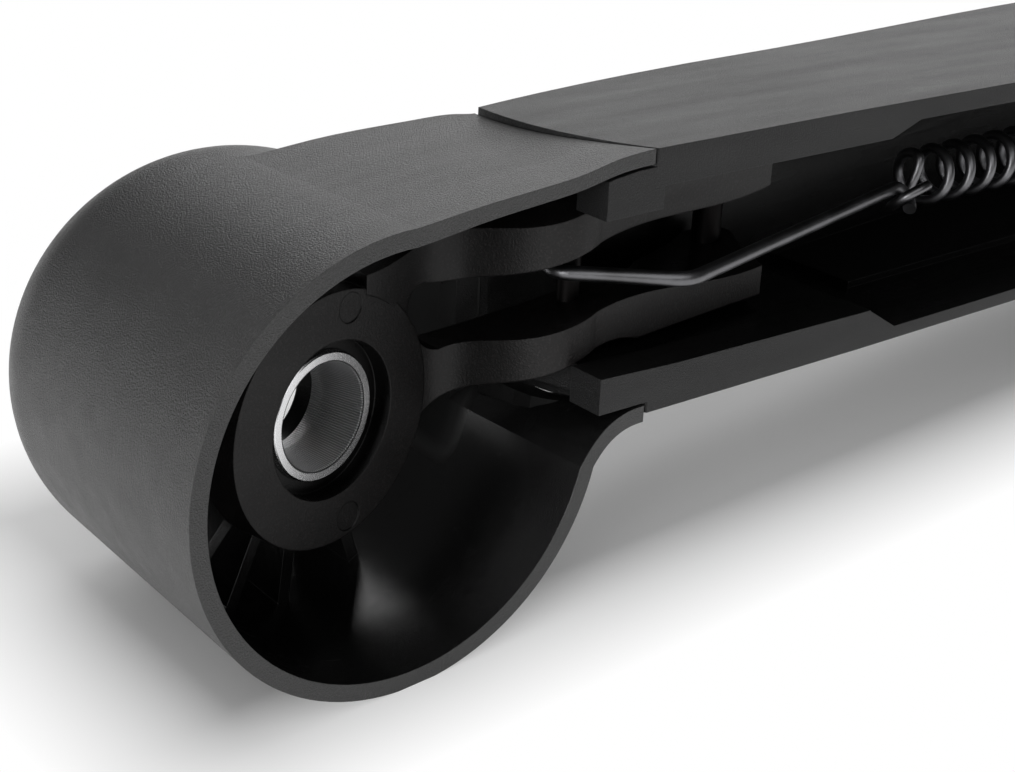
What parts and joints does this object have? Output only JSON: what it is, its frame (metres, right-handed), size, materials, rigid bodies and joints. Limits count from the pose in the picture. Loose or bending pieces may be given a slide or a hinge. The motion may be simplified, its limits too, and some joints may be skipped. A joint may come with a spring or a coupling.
{
  "type": "rear wiper arm",
  "caption": "Moulded rear window wiper arm lying on its side, with a round spindle head, a folding channel arm, a wire link and a tension spring.",
  "frame": {"origin": "on the spindle axis, half way along the straight stretch of the insert's bore", "axes": "+X along the arm to the tip, +Y from the glass side to the domed back, +Z across the arm to its straight edge"},
  "size_m": [0.321, 0.0382, 0.0448],
  "materials": {
    "head_cover": "fine-grained moulded black",
    "hub_carrier": "moulded black with a fine dull face",
    "spindle_insert": "turned bright",
    "arm_channel": "fine-grained moulded black",
    "pivot_pin": "ground steel",
    "link_anchor_pin": "dark steel",
    "link_hook": "dark coated wire",
    "tension_spring": "dark coated spring wire",
    "spring_anchor_pin": "ground steel"
  },
  "bodies": {
    "head": {"head_cover": "head_cover", "hub_carrier": "hub_carrier", "spindle_insert": "spindle_insert", "link_anchor_pin": "link_anchor_pin"},
    "arm": {"arm_channel": "arm_channel", "pivot_pin": "pivot_pin", "tension_spring": "tension_spring", "spring_anchor_pin": "spring_anchor_pin"},
    "link": {"link_hook": "link_hook"}
  },
  "joints": [
    {"name": "arm_fold", "type": "hinge", "parent": "head", "child": "arm", "pos_m": [0.05039, -0.00153, 0.011], "axis": [0, 0, 1], "range_deg": [0, 21], "stiffness_Nm_per_rad": 0.8, "springref_deg": -91.67, "deforming": ["tension_spring"]},
    {"name": "link_swing", "type": "hinge", "parent": "head", "child": "link", "pos_m": [0.02529, -0.00894, 0.0106], "axis": [0, 0, 1], "range_deg": [0, 16.5]}
  ],
  "couplings": [
    {"joint": "link_swing", "follows": "arm_fold", "ratio": 0.78}
  ]
}
